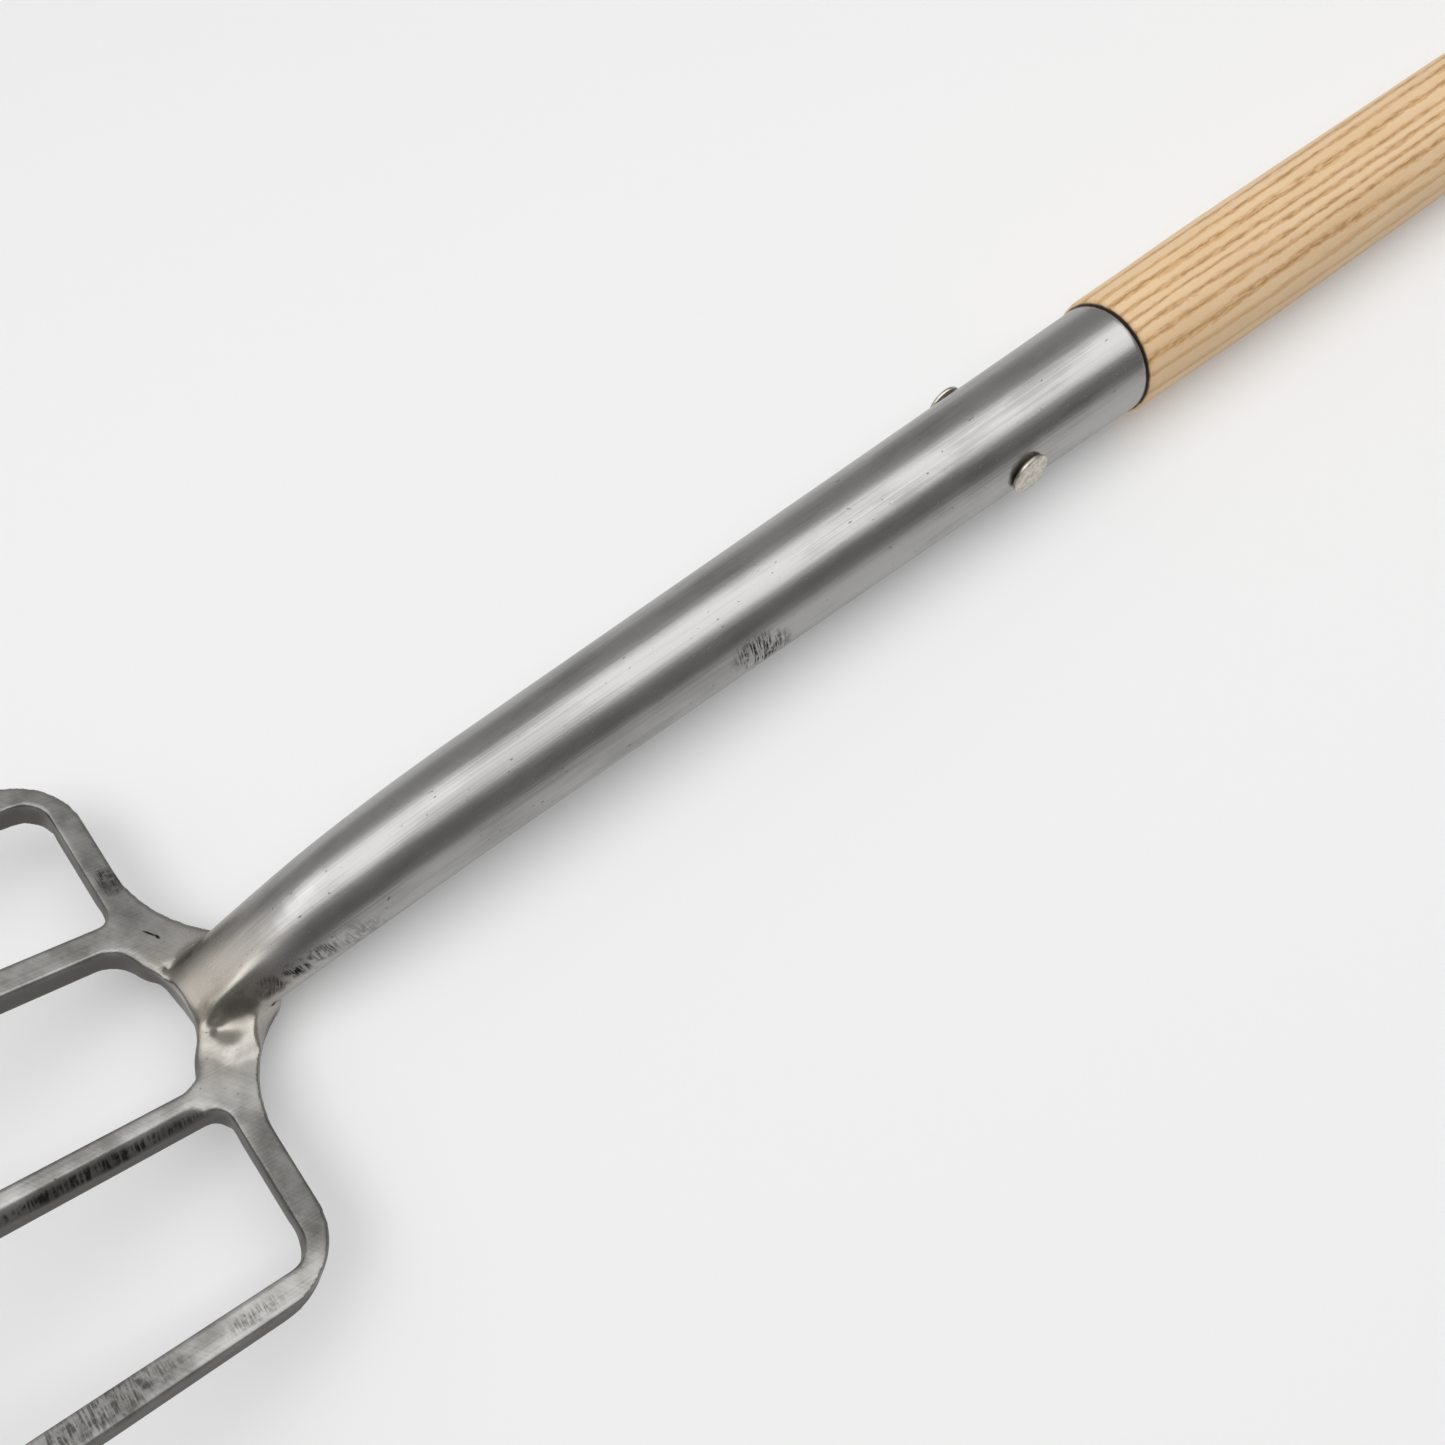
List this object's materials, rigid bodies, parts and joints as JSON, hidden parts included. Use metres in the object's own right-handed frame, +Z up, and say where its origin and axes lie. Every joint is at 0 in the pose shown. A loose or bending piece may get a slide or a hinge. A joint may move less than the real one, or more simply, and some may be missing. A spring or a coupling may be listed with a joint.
{
  "type": "digging fork",
  "caption": "Digging fork with a long conical steel socket, straight-shouldered rising tines and a split ash shaft with a riveted D-shaped grip.",
  "frame": {"origin": "centre of the bounding box at floor level, the fork lying face up", "axes": "+X along the shaft to the handle, +Y to the left tines, +Z up out of the tines' face"},
  "size_m": [1.158, 0.1738, 0.1566],
  "materials": {
    "ground_steel": "ground along the socket, satin to bright",
    "rivet_steel": "plain steel, satin",
    "ash": "sanded and oiled ash, straight grain",
    "grip_ash": "turned and oiled ash"
  },
  "bodies": {
    "root": {"socket": "ground_steel", "left_outer_tine": "ground_steel", "left_inner_tine": "ground_steel", "right_inner_tine": "ground_steel", "right_outer_tine": "ground_steel", "ash_shaft": "ash", "socket_rivet": "rivet_steel", "hand_grip": "grip_ash", "grip_rivet": "rivet_steel", "grip_washers": "rivet_steel", "throat_rivet": "rivet_steel", "throat_washers": "rivet_steel"}
  },
  "joints": []
}
